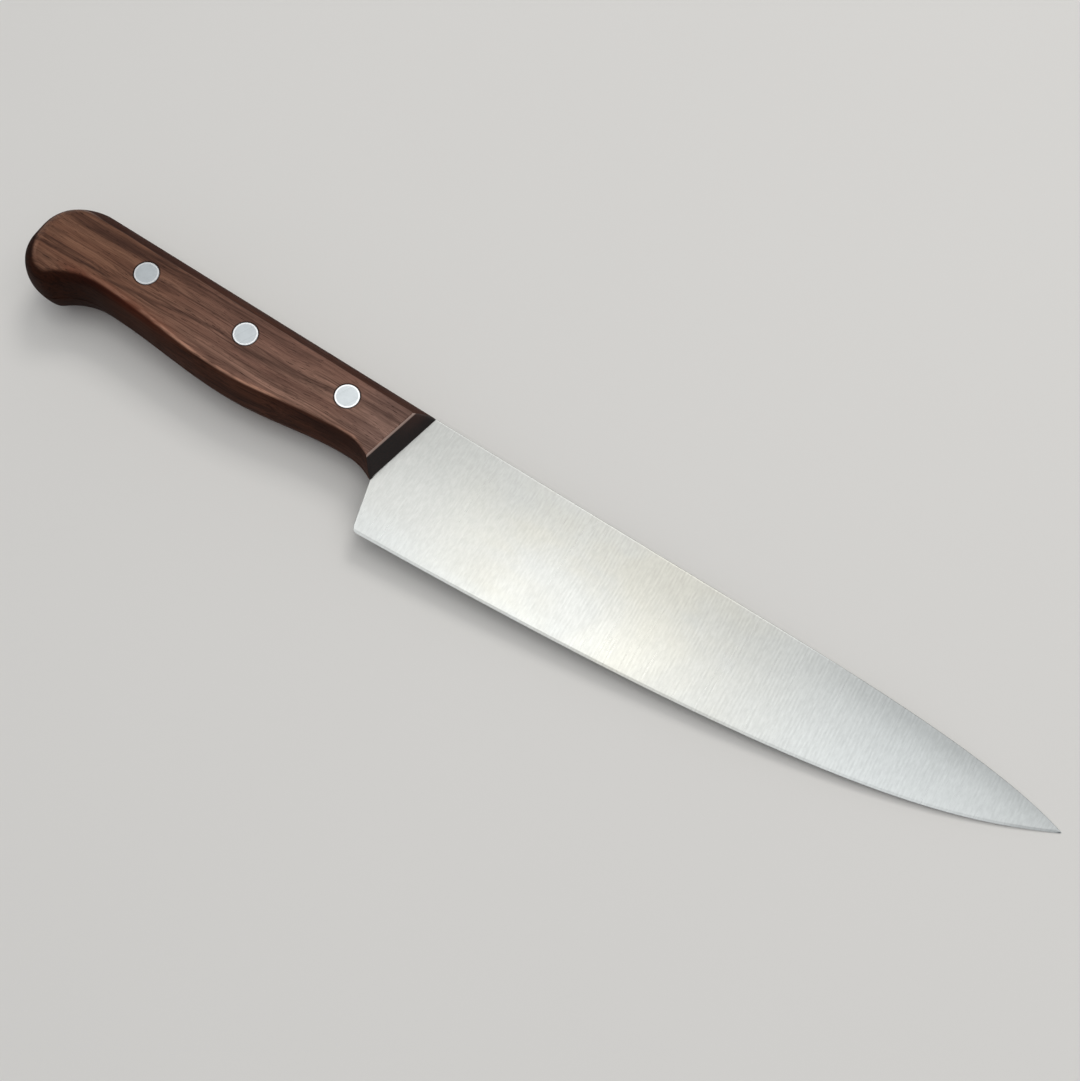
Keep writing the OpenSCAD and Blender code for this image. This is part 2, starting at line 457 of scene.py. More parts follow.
@dataclass(frozen=True)
class Sheet:
    """A node tree under construction."""

    tree: Tree

    @classmethod
    def for_group(cls, name: str, inputs: dict[str, float | Place], outputs: Sequence[str]) -> Sheet:
        """Start a shader node group.

        Args:
            name: Name of the group.
            inputs: Default of each input; three numbers make it a vector.
            outputs: Labels of the outputs, which are plain numbers.

        Returns:
            The group's sheet, with its input and output nodes placed.
        """
        tree = bpy.data.node_groups.new(name, "ShaderNodeTree")
        for label, default in inputs.items():
            kind = "NodeSocketFloat" if isinstance(default, float) else "NodeSocketVector"
            tree.interface.new_socket(label, in_out="INPUT", socket_type=kind).default_value = default
        for label in outputs:
            tree.interface.new_socket(label, in_out="OUTPUT", socket_type="NodeSocketFloat")
        return cls(tree).open_ends()

    def open_ends(self) -> Sheet:
        """Place a group's input and output nodes.

        Returns:
            The sheet itself.
        """
        self.node("NodeGroupInput")
        self.node("NodeGroupOutput")
        return self

    def node(self, kind: str, inputs: Inputs | None = None, **settings: object) -> bpy.types.Node:
        """Add a node.

        Args:
            kind: Type name of the node.
            inputs: What feeds its inputs, by number or label.
            **settings: Properties to set on it.

        Returns:
            The node.
        """
        made = self.tree.nodes.new(kind)
        for key, value in settings.items():
            setattr(made, key, value)
        for label, value in (inputs or {}).items():
            self.join(value, made.inputs[label])
        return made

    def feed(self, kind: str, inputs: Inputs, output: int | str = 0, **settings: object) -> Value:
        """Add a node and return one of its outputs.

        Args:
            kind: Type name of the node.
            inputs: What feeds its inputs, by number or label.
            output: Number or label of the output.
            **settings: Properties to set on the node.

        Returns:
            The output.
        """
        return Value(self, self.node(kind, inputs, **settings).outputs[output])

    def join(self, value: Input, socket: Socket) -> None:
        """Link a value to an input, or set the input's own value.

        Args:
            value: A value on the sheet, a number or a vector.
            socket: The input to feed.
        """
        if isinstance(value, Value):
            self.tree.links.new(value.socket, socket)
        else:
            socket.default_value = value

    def given(self, label: str) -> Value:
        """Return a group input."""
        return Value(self, self.tree.nodes["Group Input"].outputs[label])

    def give(self, label: str, value: Input) -> None:
        """Feed a group output."""
        self.join(value, self.tree.nodes["Group Output"].inputs[label])

    def math(self, operation: str, *values: Input) -> Value:
        """Return the result of a Math node."""
        return self.feed("ShaderNodeMath", dict(enumerate(values)), operation=operation)

    def vector(self, *parts: Input) -> Value:
        """Return a vector of three parts."""
        return self.feed("ShaderNodeCombineXYZ", dict(enumerate(parts)))

    def parts(self, vector: Value) -> list[Value]:
        """Return a vector's three parts."""
        return [Value(self, socket) for socket in self.node("ShaderNodeSeparateXYZ", {0: vector}).outputs]

    def grey(self, value: Value) -> Value:
        """Return a grey of the value's brightness."""
        return self.feed("ShaderNodeCombineColor", {0: value, 1: value, 2: value})

    def mix(self, factor: Input, first: Input, second: Input, blend: str = "MIX") -> Value:
        """Mix two colours.

        Args:
            factor: Share of the second colour.
            first: The first colour.
            second: The second colour.
            blend: Name of the blend mode.

        Returns:
            The mixed colour.
        """
        colours = [c if isinstance(c, Value) else (*c, 1.0) for c in (first, second)]
        inputs = {0: factor, 6: colours[0], 7: colours[1]}
        return self.feed("ShaderNodeMix", inputs, 2, data_type="RGBA", blend_type=blend)

    def noise(
        self, vector: Value, scale: Place, detail: float, rough: float = 0.5, warp: float = 0.0,
        shift: Place = (0, 0, 0),
    ) -> Value:
        """Add a noise texture.

        Args:
            vector: Where the texture is read.
            scale: Features for each unit along each axis.
            detail: Number of finer layers.
            rough: Strength of the finer layers.
            warp: Distortion of the texture.
            shift: Distance along each axis, after the scale.

        Returns:
            The noise, about 0.5 on average.
        """
        mapped = self.feed("ShaderNodeMapping", {"Vector": vector, "Location": shift, "Scale": scale})
        inputs = {"Vector": mapped, "Scale": 1.0, "Detail": detail, "Roughness": rough, "Distortion": warp}
        return self.feed("ShaderNodeTexNoise", inputs)

    def group(self, tree: Tree, **inputs: Input) -> dict[str, Value]:
        """Place a group.

        Args:
            tree: The group's tree.
            **inputs: What feeds its inputs, by label with _ for spaces.

        Returns:
            The group's outputs, by label.
        """
        named = {label.replace("_", " "): value for label, value in inputs.items()}
        placed = self.node("ShaderNodeGroup", named, node_tree=tree)
        return {out.name: Value(self, out) for out in placed.outputs}

    def bump(self, height: Value, distance: float, strength: float) -> Value:
        """Return a normal bumped by a height whose unit is a distance in metres."""
        return self.feed("ShaderNodeBump", {"Height": height, "Distance": distance, "Strength": strength})


@dataclass(frozen=True)
class Canvas(Sheet):
    """A finish's sheet, which knows each place on the knife in the maker's millimetres."""

    layout: Layout

    @cached_property
    def place(self) -> Value:
        """The place, from the Object coordinates.

        Returns:
            The place as a vector.
        """
        raw = self.feed("ShaderNodeTexCoord", {}, "Object")
        start = Vector(self.layout.at(0, 0, 0)) / MM
        scaled = {"Vector": raw, "Location": tuple(-start), "Scale": (1 / MM,) * 3}
        return self.feed("ShaderNodeMapping", scaled)

    @cached_property
    def spot(self) -> list[Value]:
        """The place's three parts."""
        return self.parts(self.place)

    def from_rivet(self) -> Value:
        """Return how far each place is from the axis of the nearest rivet.

        Returns:
            The distance, in millimetres.
        """
        x, y, _ = self.spot
        nearest: Input = self.layout.blade_len**2
        for along, down in self.layout.rivets:
            run, rise = x - along, y - down
            nearest = self.math("MINIMUM", run * run + rise * rise, nearest)
        return self.math("SQRT", nearest)


def linear(red: int, green: int, blue: int) -> Colour:
    """Return a display colour of 0 to 255 as linear light."""
    parts = [c / 255 for c in (red, green, blue)]
    return tuple(p / 12.92 if p <= 0.04045 else ((p + 0.055) / 1.055) ** 2.4 for p in parts)


def dimmed(colour: Colour, share: float) -> Colour:
    """Return a share of a colour's light."""
    return tuple(part * share for part in colour)


# ---- Effects that finishes share ----


@dataclass(frozen=True)
class Effects:
    """The shader groups that more than one finish uses."""

    abrasive: Tree
    handling: Tree
    figure: Tree

    @classmethod
    def make(cls) -> Effects:
        """Build every shared group."""
        return cls(cls.abrasive_lines(), cls.handling_marks(), cls.wood_figure())

    @staticmethod
    def abrasive_lines() -> Tree:
        """Build the marks of a belt: broad and fine lines that run along Y.

        Returns:
            The group, which gives the surface's height and the share of deep lines.
        """
        inputs = {"Place": (0, 0, 0), "Line Width": 0.12, "Deep Share": 0.3}
        sheet = Sheet.for_group("abrasive_lines", inputs, ("Height", "Deep"))
        x, y, z = sheet.parts(sheet.given("Place"))
        across = sheet.math("DIVIDE", x, sheet.given("Line Width"))
        fine, broad = (
            sheet.noise(sheet.vector(across + apart, y * run, z * 0.3), (0.5,) * 3, detail, 0.6)
            for run, detail, apart in ((0.05, 3, 0.0), (0.016, 2, 71.0))
        )
        deep = broad.ramp(0.6, 0.75)
        sheet.give("Height", fine - deep * sheet.given("Deep Share"))
        sheet.give("Deep", deep)
        return sheet.tree

    @staticmethod
    def handling_marks() -> Tree:
        """Build the soft smudges and small scuffs that handling leaves.

        Returns:
            The group, which gives the share of each mark.
        """
        inputs = {"Place": (0, 0, 0), "Patch Size": 12.0}
        sheet = Sheet.for_group("handling_marks", inputs, ("Smudge", "Scuff"))
        finer = sheet.math("DIVIDE", 1.0, sheet.given("Patch Size"))
        inputs = {0: sheet.given("Place"), "Scale": finer}
        place = sheet.feed("ShaderNodeVectorMath", inputs, operation="SCALE")
        sheet.give("Smudge", sheet.noise(place, (1, 1, 1), 4, 0.55, 0.4).ramp(0.35, 0.7))
        sheet.give("Scuff", sheet.noise(place, (9, 9, 9), 6, 0.7).ramp(0.6, 0.72))
        return sheet.tree

    @staticmethod
    def wood_figure() -> Tree:
        """Build the figure of a dense tropical wood whose grain runs along X.

        Returns:
            The group, which gives the growth layers, streaks, fibres and pores.
        """
        sheet = Sheet.for_group("wood_figure", {"Place": (0, 0, 0)}, ("Layers", "Streaks", "Fibre", "Pores"))
        place = sheet.given("Place")
        x, y, z = sheet.parts(place)
        drift = sheet.noise(place, (0.018, 0.07, 0.07), 2)
        grain = sheet.vector(x, y + drift * 7.0, z - drift * 4.0)
        sheet.give("Layers", sheet.noise(grain, (0.006, 0.24, 0.16), 3, 0.55))
        sheet.give("Streaks", sheet.noise(grain, (0.022, 1.9, 1.4), 4, 0.6))
        sheet.give("Fibre", sheet.noise(grain, (0.12, 5.5, 5.5), 3, 0.65))
        sheet.give("Pores", sheet.noise(grain, (0.35, 5.0, 5.0), 1, 0.4, shift=(31, 17, 5)).ramp(0.66, 0.74))
        return sheet.tree


# ---- Finishes ----


@dataclass(frozen=True)
class Finish:
    """A finish of the knife or its floor. Each kind paints a sheet of its own."""

    layout: Layout
    effects: Effects

    def material(self, name: str) -> Material:
        """Build the finish's material.

        Args:
            name: Name of the material.

        Returns:
            The material.
        """
        material = bpy.data.materials.new(name)
        material.use_nodes = True
        material.node_tree.nodes.clear()
        sheet = Canvas(material.node_tree, self.layout)
        shader = sheet.feed("ShaderNodeBsdfPrincipled", self.paint(sheet), "BSDF")
        sheet.node("ShaderNodeOutputMaterial", {"Surface": shader})
        return material

    def paint(self, sheet: Canvas) -> Inputs:
        """Return what feeds the shader's inputs, by label."""
        raise NotImplementedError


@dataclass(frozen=True)
class BrushedSteel(Finish):
    """Satin steel, belt ground from the spine to the edge."""

    body: Colour = (0.50, 0.51, 0.495)
    warm_reflection: Colour = (0.52, 0.515, 0.465)
    cool_reflection: Colour = (0.565, 0.60, 0.61)
    line_width: float = 0.16
    deep_share: float = 0.5
    ripple_pitch: float = 1.0
    ripple_slope: float = 0.05
    ripple_depth: float = 0.045
    line_depth: float = 0.000012
    roughness: float = 0.24

    def paint(self, sheet: Canvas) -> Inputs:
        """Paint the steel, with a painted reflection that is warm in the middle and cool at the ends, painted
        shade towards the spine and a painted highlight on the spine's rim.

        Args:
            sheet: The material's sheet.

        Returns:
            What feeds the shader's inputs.
        """
        x, y, _ = sheet.spot
        lines = {"Line_Width": self.line_width, "Deep_Share": self.deep_share}
        belt = sheet.group(self.effects.abrasive, Place=sheet.place, **lines)
        wear = sheet.group(self.effects.handling, Place=sheet.place, Patch_Size=22.0)
        ripple = self.ripples(sheet)
        patch = sheet.noise(sheet.place, (0.02, 0.035, 0.02), 3, 0.6, 0.6)
        # Painted reflection: a warm cast mid-blade and a cool cast at the ends and low towards the edge.
        warm_reflection_share = x.ramp(5, 45) * x.ramp(75, 125, 1, 0) * patch.ramp(0.35, 0.65)
        ends = sheet.math("MINIMUM", x.ramp(90, 150) + y.ramp(-26, -37, 0, 0.5), 1.0)
        tint = sheet.mix(ends * 0.7, self.body, self.cool_reflection)
        tint = sheet.mix(warm_reflection_share * 0.8, tint, self.warm_reflection)
        # Painted shade: darker towards the spine, standing in for the blade's fading reflection; the belt
        # lines darken it for real.
        shade = belt["Height"].ramp(0.25, 0.75, 0.94, 1.0) * y.ramp(-28, 0, 1.0, 0.76)
        # More painted shade near the spine towards the tip, and a painted highlight along the spine's rim.
        shade += x.ramp(105, 145) * y.ramp(-10, -2, 0, -0.13) + y.ramp(-0.45, -0.15, 0, 0.3)
        mottle = sheet.noise(sheet.place, (1.6, 0.5, 0.8), 4, 0.7, shift=(1, 7, 2))
        shade = (shade + ripple * self.ripple_depth) * mottle.ramp(0.3, 0.7, 0.93, 1.05)
        return {
            "Base Color": sheet.mix(1.0, tint, sheet.grey(shade), "MULTIPLY"),
            "Roughness": wear["Smudge"] * 0.05 + belt["Height"] * 0.1 + self.roughness,
            "Normal": sheet.bump(belt["Height"] + ripple * 0.4, self.line_depth, 0.5),
            "Metallic": 1.0,
        }

    def ripples(self, sheet: Canvas) -> Value:
        """Lay the even ripples that the grinding wheel leaves across the blade.

        Args:
            sheet: The material's sheet.

        Returns:
            The height of each place, from -1 to 1.
        """
        x, y, _ = sheet.spot
        drift = sheet.noise(sheet.place, (0.06, 0.05, 0.05), 3, 0.6, shift=(4, 4, 4))
        phase = x + y * self.ripple_slope + drift * 1.2
        wave = sheet.math("SINE", phase * (math.tau / self.ripple_pitch))
        broken = sheet.noise(sheet.place, (0.5, 0.16, 0.2), 4, 0.65, shift=(9, 2, 7))
        return wave * x.ramp(25, 60, 0.25, 1) * x.ramp(120, 160, 1, 0.5) * broken.ramp(0.38, 0.62, 0.15, 1)


@dataclass(frozen=True)
class Streak:
    """One dark streak of heartwood along the handle, in millimetres."""

    middle: float
    height: float
    slope: float
    half_len: float
    half_width: float
    strength: float


@dataclass(frozen=True)
class Rosewood(Finish):
    """Oiled rosewood: brown, with dark heart streaks along the handle."""

    pale: Colour = linear(149, 114, 98)
    brown: Colour = linear(124, 91, 78)
    dark: Colour = linear(58, 38, 32)
    red: Colour = linear(122, 66, 48)
    # Colour of the painted highlight on the belly's ridge.
    ridge_highlight_colour: Colour = linear(190, 143, 120)
    rear_tint: Colour = (0.75, 0.66, 0.56)
    # Greyish colour of the painted sheen over the front of the handle.
    front_sheen: Colour = linear(146, 119, 109)
    pore: Colour = linear(38, 24, 20)
    # Multiplier of the painted shade on the walls.
    wall_shade: Colour = (0.25, 0.165, 0.13)
    roughness: float = 0.36
    shine: float = 0.07
    grain_depth: float = 0.00004
    streaks: tuple[Streak, ...] = (
        Streak(-92, -6.3, 0.03, 32, 1.3, 0.66),
        Streak(-107, -17.2, 0.04, 17, 0.5, 0.85),
        Streak(-112, -16.0, 0.02, 12, 0.35, 0.7),
        Streak(-78, -15.6, 0.13, 24, 0.5, 0.6),
        Streak(-38, -12.4, 0.12, 22, 0.9, 0.6),
        Streak(-14, -9.6, -0.04, 12, 1.0, 0.5),
        Streak(-50, -6.2, 0.0, 22, 1.0, 0.5),
        Streak(-60, -19.5, -0.03, 20, 0.5, 0.4),
    )

    def paint(self, sheet: Canvas) -> Inputs:
        """Paint the wood from its broad tones down to its pores, with painted shade, sheen and highlights.

        Args:
            sheet: The material's sheet.

        Returns:
            What feeds the shader's inputs.
        """
        x, y, _ = sheet.spot
        figure = sheet.group(self.effects.figure, Place=sheet.place)
        wear = sheet.group(self.effects.handling, Place=sheet.place, Patch_Size=9.0)
        # Share of wall that gets painted shade, and more painted shade on the walls round the hook.
        deep = self.walls(sheet)
        hook = deep * x.ramp(-84, -98, 0, 0.6) * y.ramp(-13, -18)
        clouds = sheet.noise(sheet.place, (0.03, 0.28, 0.3), 5, 0.65, 0.3, (6, 2, 9))
        # Painted shadow: a dark ring in the gap round each rivet head.
        rivet_gap_shadow = sheet.from_rivet().ramp(self.layout.head_r + 0.05, self.layout.head_r + 0.4, 0.8, 0)
        tone = sheet.mix(figure["Layers"].ramp(0.36, 0.62), self.brown, self.pale)
        fibre = sheet.grey(figure["Fibre"].ramp(0.3, 0.7, 0.74, 1.18))
        for factor, colour, blend in (
            (x.ramp(-44, -100, 0, 0.95), self.rear_tint, "MULTIPLY"),
            # Painted sheen: a greyish haze over the front of the handle.
            (x.ramp(-24, -8, 0, 0.4), self.front_sheen, "MIX"),
            (clouds.ramp(0.46, 0.62, 0, 0.42), self.dark, "MIX"),
            (self.heart(sheet), self.dark, "MIX"),
            (figure["Streaks"].ramp(0.48, 0.66, 0, 0.6), self.dark, "MIX"),
            (self.blush(sheet), self.red, "MIX"),
            # Painted shade on the walls, deeper still round the hook.
            (deep, self.wall_shade, "MULTIPLY"),
            (hook, self.wall_shade, "MULTIPLY"),
            # Painted highlight along the belly's ridge.
            (self.painted_ridge_highlight(sheet), self.ridge_highlight_colour, "MIX"),
            (1.0, fibre, "MULTIPLY"),
            (figure["Pores"] * 0.8, self.pore, "MIX"),
            # Painted shadow of the gap round the rivet heads.
            (rivet_gap_shadow, self.pore, "MIX"),
        ):
            tone = sheet.mix(factor, tone, colour, blend)
        return {
            "Base Color": tone,
            "Roughness": wear["Smudge"] * 0.08 + figure["Pores"] * 0.2 + deep * 0.3 + self.roughness,
            "Normal": sheet.bump(figure["Fibre"] - figure["Pores"], self.grain_depth, 0.5),
            "Specular IOR Level": self.shine,
        }

    def walls(self, sheet: Canvas) -> Value:
        """Return the share of wall, which is darkened with painted shade as it turns away from the flat side.
        """
        x, y, z = sheet.spot
        return (abs(z) + x.ramp(-106, -115) * y.ramp(-21, -14)).ramp(8.96, 8.3)

    def painted_ridge_highlight(self, sheet: Canvas) -> Value:
        """Paint a highlight on the thin ridge between the flat and the belly.

        Args:
            sheet: The material's sheet.

        Returns:
            How bright the painted highlight is at each place.
        """
        x, y, z = sheet.spot
        ridge = abs(z).ramp(8.5, 8.8) * abs(z).ramp(8.99, 8.9) * y.ramp(-14, -17) * x.ramp(-96, -76, 0.2, 1)
        highlight_breakup = sheet.noise(sheet.place, (0.05, 0.1, 0.1), 3, 0.6, shift=(3, 1, 8))
        return ridge * highlight_breakup.ramp(0.42, 0.6, 0.05, 0.85)

    def heart(self, sheet: Canvas) -> Value:
        """Lay the heart streaks.

        Args:
            sheet: The material's sheet.

        Returns:
            How dark each place is.
        """
        x, y, _ = sheet.spot
        waver = sheet.noise(sheet.place, (0.035, 0.1, 0.1), 3, 0.6, shift=(7, 3, 1))
        ragged = sheet.noise(sheet.place, (0.08, 1.6, 1.6), 3, 0.6, shift=(2, 9, 4))
        level = y + (waver * 2.4 - 1.2)
        total: Input = 0.0
        for streak in self.streaks:
            along = x - streak.middle
            off = abs(level - (along * streak.slope + streak.height))
            body = off.ramp(0.2 * streak.half_width, 1.8 * streak.half_width, 1, 0)
            ends = abs(along).ramp(0.5 * streak.half_len, streak.half_len, streak.strength, 0)
            total = sheet.math("MAXIMUM", body * ends, total)
        return total * ragged.ramp(0.3, 0.6, 0.55, 1.0)

    def blush(self, sheet: Canvas) -> Value:
        """Redden the wood near the belly ahead of the hook and along the back.

        Args:
            sheet: The material's sheet.

        Returns:
            How red each place is.
        """
        x, y, z = sheet.spot
        patch = sheet.noise(sheet.place, (0.04, 0.2, 0.2), 3, 0.6, shift=(5, 8, 2))
        belly = y.ramp(-17, -21) * x.ramp(-64, -84) * x.ramp(-112, -98) * abs(z).ramp(5.5, 8.5)
        both = sheet.math("MAXIMUM", belly, y.ramp(-4.4, -2.0, 0, 0.35))
        return both * patch.ramp(0.3, 0.6, 0.3, 0.9)


@dataclass(frozen=True)
class EndGrain(Finish):
    """The front of the handle, where the cut ends of the fibres have drunk the oil."""

    dark: Colour = linear(24, 18, 17)
    brown: Colour = linear(60, 36, 29)
    # Colour of the painted highlight along the upper edge.
    rim: Colour = linear(196, 168, 156)
    roughness: float = 0.36
    pit_depth: float = 0.00003

    def paint(self, sheet: Canvas) -> Inputs:
        """Paint the end grain, with a painted highlight along its upper edge.

        Args:
            sheet: The material's sheet.

        Returns:
            What feeds the shader's inputs.
        """
        _, y, z = sheet.spot
        figure = sheet.group(self.effects.figure, Place=sheet.place)
        wear = sheet.group(self.effects.handling, Place=sheet.place, Patch_Size=6.0)
        lift = y.ramp(-14, -3) * abs(z).ramp(2, 8)
        tone = sheet.mix(lift + figure["Streaks"].ramp(0.35, 0.65, 0, 0.35), self.dark, self.brown)
        pits = sheet.noise(sheet.place, (2.5, 6.0, 6.0), 2)
        tone = sheet.mix(pits.ramp(0.56, 0.66, 0, 0.7), tone, dimmed(self.dark, 0.3))
        return {
            # Painted highlight: a light line along the upper edge.
            "Base Color": sheet.mix(abs(z).ramp(7.8, 8.3, 0, 0.9), tone, self.rim),
            "Roughness": wear["Scuff"] * 0.15 + self.roughness,
            "Normal": sheet.bump(pits, self.pit_depth, 0.4),
        }


@dataclass(frozen=True)
class RivetMetal(Finish):
    """Bright rivet metal, sanded flush with the wood, polished at the rim and with a painted highlight there.
    """

    face: Colour = (0.56, 0.60, 0.62)
    # Colour of the painted highlight on the rim.
    rim: Colour = (0.84, 0.86, 0.87)
    line_width: float = 0.16
    deep_share: float = 0.9
    line_turn: float = 24.0
    line_depth: float = 0.00002
    roughness: float = 0.42

    def paint(self, sheet: Canvas) -> Inputs:
        """Paint the rivets, with sanding lines askew and a painted highlight round the rim.

        Args:
            sheet: The material's sheet.

        Returns:
            What feeds the shader's inputs.
        """
        turn = (0.0, 0.0, math.radians(self.line_turn))
        askew = sheet.feed("ShaderNodeMapping", {"Vector": sheet.place, "Rotation": turn})
        lines = {"Line_Width": self.line_width, "Deep_Share": self.deep_share}
        belt = sheet.group(self.effects.abrasive, Place=askew, **lines)
        wear = sheet.group(self.effects.handling, Place=sheet.place, Patch_Size=3.0)
        # Painted highlight: the rim is lighter in colour, besides being smoother.
        edge = sheet.from_rivet().ramp(self.layout.head_r - 0.7, self.layout.head_r - 0.4)
        tone = sheet.mix(wear["Smudge"] * 0.35 + belt["Deep"] * 0.5, self.face, dimmed(self.face, 0.8))
        return {
            "Base Color": sheet.mix(edge, tone, self.rim),
            "Roughness": wear["Scuff"] * 0.08 - edge * 0.1 + self.roughness,
            "Normal": sheet.bump(belt["Height"], self.line_depth, 0.4),
            "Metallic": 1.0,
        }


@dataclass(frozen=True)
class PaleFloor(Finish):
    """A plain pale studio floor."""

    tone: Colour = (0.78, 0.77, 0.745)

    def paint(self, sheet: Canvas) -> Inputs:
        """Paint the floor, with the faintest unevenness.

        Args:
            sheet: The material's sheet.

        Returns:
            What feeds the shader's inputs.
        """
        cloud = sheet.noise(sheet.feed("ShaderNodeTexCoord", {}, "Object"), (6, 6, 6), 4)
        return {"Base Color": sheet.mix(cloud, dimmed(self.tone, 0.97), self.tone), "Roughness": 0.8}


# ---- Blade ----


@dataclass(frozen=True)
class Blade:
    """The ground blade and its flat tang, one piece of steel. Sizes are millimetres."""

    layout: Layout
    heel_h: float
    steel_t: float = 2.0
    edge_t: float = 0.4
    bevel_h: float = 0.7
    edge_land: float = 0.02
    belly: float = 1.4
    spine_flat: float = 0.37
    spine_hold: float = 0.62
    spine_fall: float = 0.126
    spine_fall_h: float = 8.0
    edge_hold: float = 0.73
    edge_hold_h: float = 0.82
    edge_rise: float = 0.12
    edge_rise_h: float = 0.3
    tip_drop: float = 7.0
    tip_flat: float = 0.3
    heel_lean: float = 16.0
    heel_r: float = 2.0
    front_h: float = 24.0
    front_slant: float = 12.0
    tang_h: float = 17.0
    tang_end_h: float = 15.5
    tang_end_r: float = 4.0
    tang_shoulder: float = 7.0
    tang_cover: float = 1.0
    back_slope: float = -1 / 109.5
    barrel_hole_r: float = 2.05
    ease: float = 0.14
    straight_x: float = 14.0
    columns: int = 150
    heel_columns: int = 12
    upper_rows: int = 8
    heel_rows: int = 5
    foot_rows: int = 4
    bevel_rows: int = 5
    corner_steps: int = 12
    bore_steps: int = 64
    crease: float = 6.0

    @property
    def front_low(self) -> Point:
        """The lower end of the handle's front."""
        return (-self.front_h * math.tan(math.radians(self.front_slant)), -self.front_h)

    @property
    def tang_len(self) -> float:
        """Length of the tang inside the handle."""
        return (self.layout.front_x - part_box("blade")[0].x) / MM

    @property
    def tang_front(self) -> Point:
        """The tang's lower corner at the handle's front.

        Returns:
            The corner, a little inside the wood.
        """
        slant = math.radians(self.front_slant)
        x, y = self.front_low
        return (x + self.tang_cover * math.sin(slant), y + self.tang_cover * math.cos(slant))

    @property
    def heel_centre(self) -> Point:
        """Centre of the rounded lower corner of the heel.

        Returns:
            The centre.
        """
        lean = math.radians(self.heel_lean)
        foot = self.front_low[0] + (self.heel_h - self.front_h) * math.tan(lean)
        return (foot + self.heel_r * (1 / math.cos(lean) - math.tan(lean)), self.heel_r - self.heel_h)

    def spine_at(self, x: float) -> float:
        """Return the height of the spine at x.

        Args:
            x: Place along the blade.

        Returns:
            The height, 0 where the spine is straight.
        """
        length = self.layout.blade_len
        if x <= self.spine_flat * length:
            return 0.0
        knots = (
            (self.spine_flat * length, 0.0),
            (self.spine_hold * length, 0.0),
            (length - self.spine_fall * length, self.spine_fall_h - self.tip_drop),
            (length, -self.tip_drop),
        )
        return bezier_height(knots, x)

    def edge_at(self, x: float) -> float:
        """Return the height of the edge at x.

        Args:
            x: Place along the blade.

        Returns:
            The height, below 0.
        """
        length, start = self.layout.blade_len, self.heel_centre[0]
        if x <= start:
            return -self.heel_h
        knots = (
            (start, -self.heel_h),
            (self.edge_hold * length, -self.edge_hold_h * self.heel_h),
            (length - self.edge_rise * length, -self.tip_drop - self.edge_rise_h * self.heel_h),
            (length, -self.tip_drop - self.tip_flat),
        )
        return bezier_height(knots, x)

    def heel_x(self, y: float) -> float:
        """Return the x of the blade's rear outline at height y.

        Args:
            y: Height, from the spine's 0 down to the edge.

        Returns:
            A place inside the handle near the spine, and the heel's back edge below it.
        """
        inside = self.front_low[0] / 2
        tang_x, tang_y = self.tang_front
        if y >= tang_y:
            return inside + (tang_x - inside) * y / tang_y
        low_x, low_y = self.front_low
        if y >= low_y:
            return tang_x + (low_x - tang_x) * (y - tang_y) / (low_y - tang_y)
        centre_x, centre_y = self.heel_centre
        lean = math.radians(self.heel_lean)
        if y >= centre_y - self.heel_r * math.sin(lean):
            return low_x + (low_y - y) * math.tan(lean)
        return centre_x - math.sqrt(max(0.0, self.heel_r**2 - (y - centre_y) ** 2))

    def face_levels(self) -> list[float]:
        """Return the rows of the ground face as shares of its height.

        Returns:
            The shares, from the spine down.
        """
        shoulder, rounding = self.heel_h - self.bevel_h, -self.heel_centre[1]
        upper = spread(self.ease, -self.tang_front[1], self.upper_rows)
        heel = spread(self.front_h, rounding, self.heel_rows)
        foot = spread(rounding, shoulder, self.foot_rows)[1:]
        return [(y - self.ease) / (shoulder - self.ease) for y in [*upper, *heel, *foot]]

    def bevel_levels(self) -> list[float]:
        """Return the rows of the sharpened bevel as shares of its height.

        Returns:
            The shares, from the shoulder down to the edge.
        """
        start = math.asin(1 - self.bevel_h / self.heel_r)
        angles = spread(start, math.pi / 2, self.bevel_rows)[1:]
        return [(self.heel_r * math.sin(a) - self.heel_r + self.bevel_h) / self.bevel_h for a in angles]

    def column(self, x: float) -> list[Place]:
        """Return one upright column of the ground side.

        Args:
            x: Place of the column.

        Returns:
            Places from the spine's rim down to the edge, on the side of +Z.
        """
        top, low = self.spine_at(x), self.edge_at(x)
        shoulder = min(low + self.bevel_h, (top + low) / 2)
        share = (top - low) / self.heel_h
        thick = self.edge_t / 2 + (self.steel_t - self.edge_t) / 2 * share
        ease = min(self.ease, 0.15 * (top - low))
        rows = [(x, top, thick - ease)]
        for level in self.face_levels():
            y = top - ease + (shoulder - top + ease) * level
            swell = 1 - ((top - y) / (top - shoulder)) ** self.belly
            z = self.edge_t / 2 + (thick - self.edge_t / 2) * swell
            rows.append((x, y, z))
        for level in self.bevel_levels():
            z = self.edge_t / 2 + (self.edge_land - self.edge_t / 2) * level
            rows.append((x, shoulder + (low - shoulder) * level, z))
        return rows

    def side(self) -> list[list[Place]]:
        """Return every column of one ground side, from the heel to the tip.

        Returns:
            The columns in order.
        """
        straight = self.column(self.straight_x)
        rear = [(self.heel_x(y), y, z) for _, y, z in self.column(self.heel_centre[0])]
        face_end = 1 + len(self.face_levels())
        rim = [(x, y, z - self.ease * (0 < i < face_end)) for i, (x, y, z) in enumerate(rear)]
        inner = [(x + self.ease * (i < face_end), y, z) for i, (x, y, z) in enumerate(rear)]
        columns = [rim]
        for k in range(self.heel_columns):
            t = k / self.heel_columns
            columns.append([tuple(a + (b - a) * t for a, b in zip(p, q)) for p, q in zip(inner, straight)])
        for k in range(self.columns + 1):
            run = math.sin(math.pi / 2 * k / self.columns)
            columns.append(self.column(self.straight_x + (self.layout.blade_len - self.straight_x) * run))
        return columns

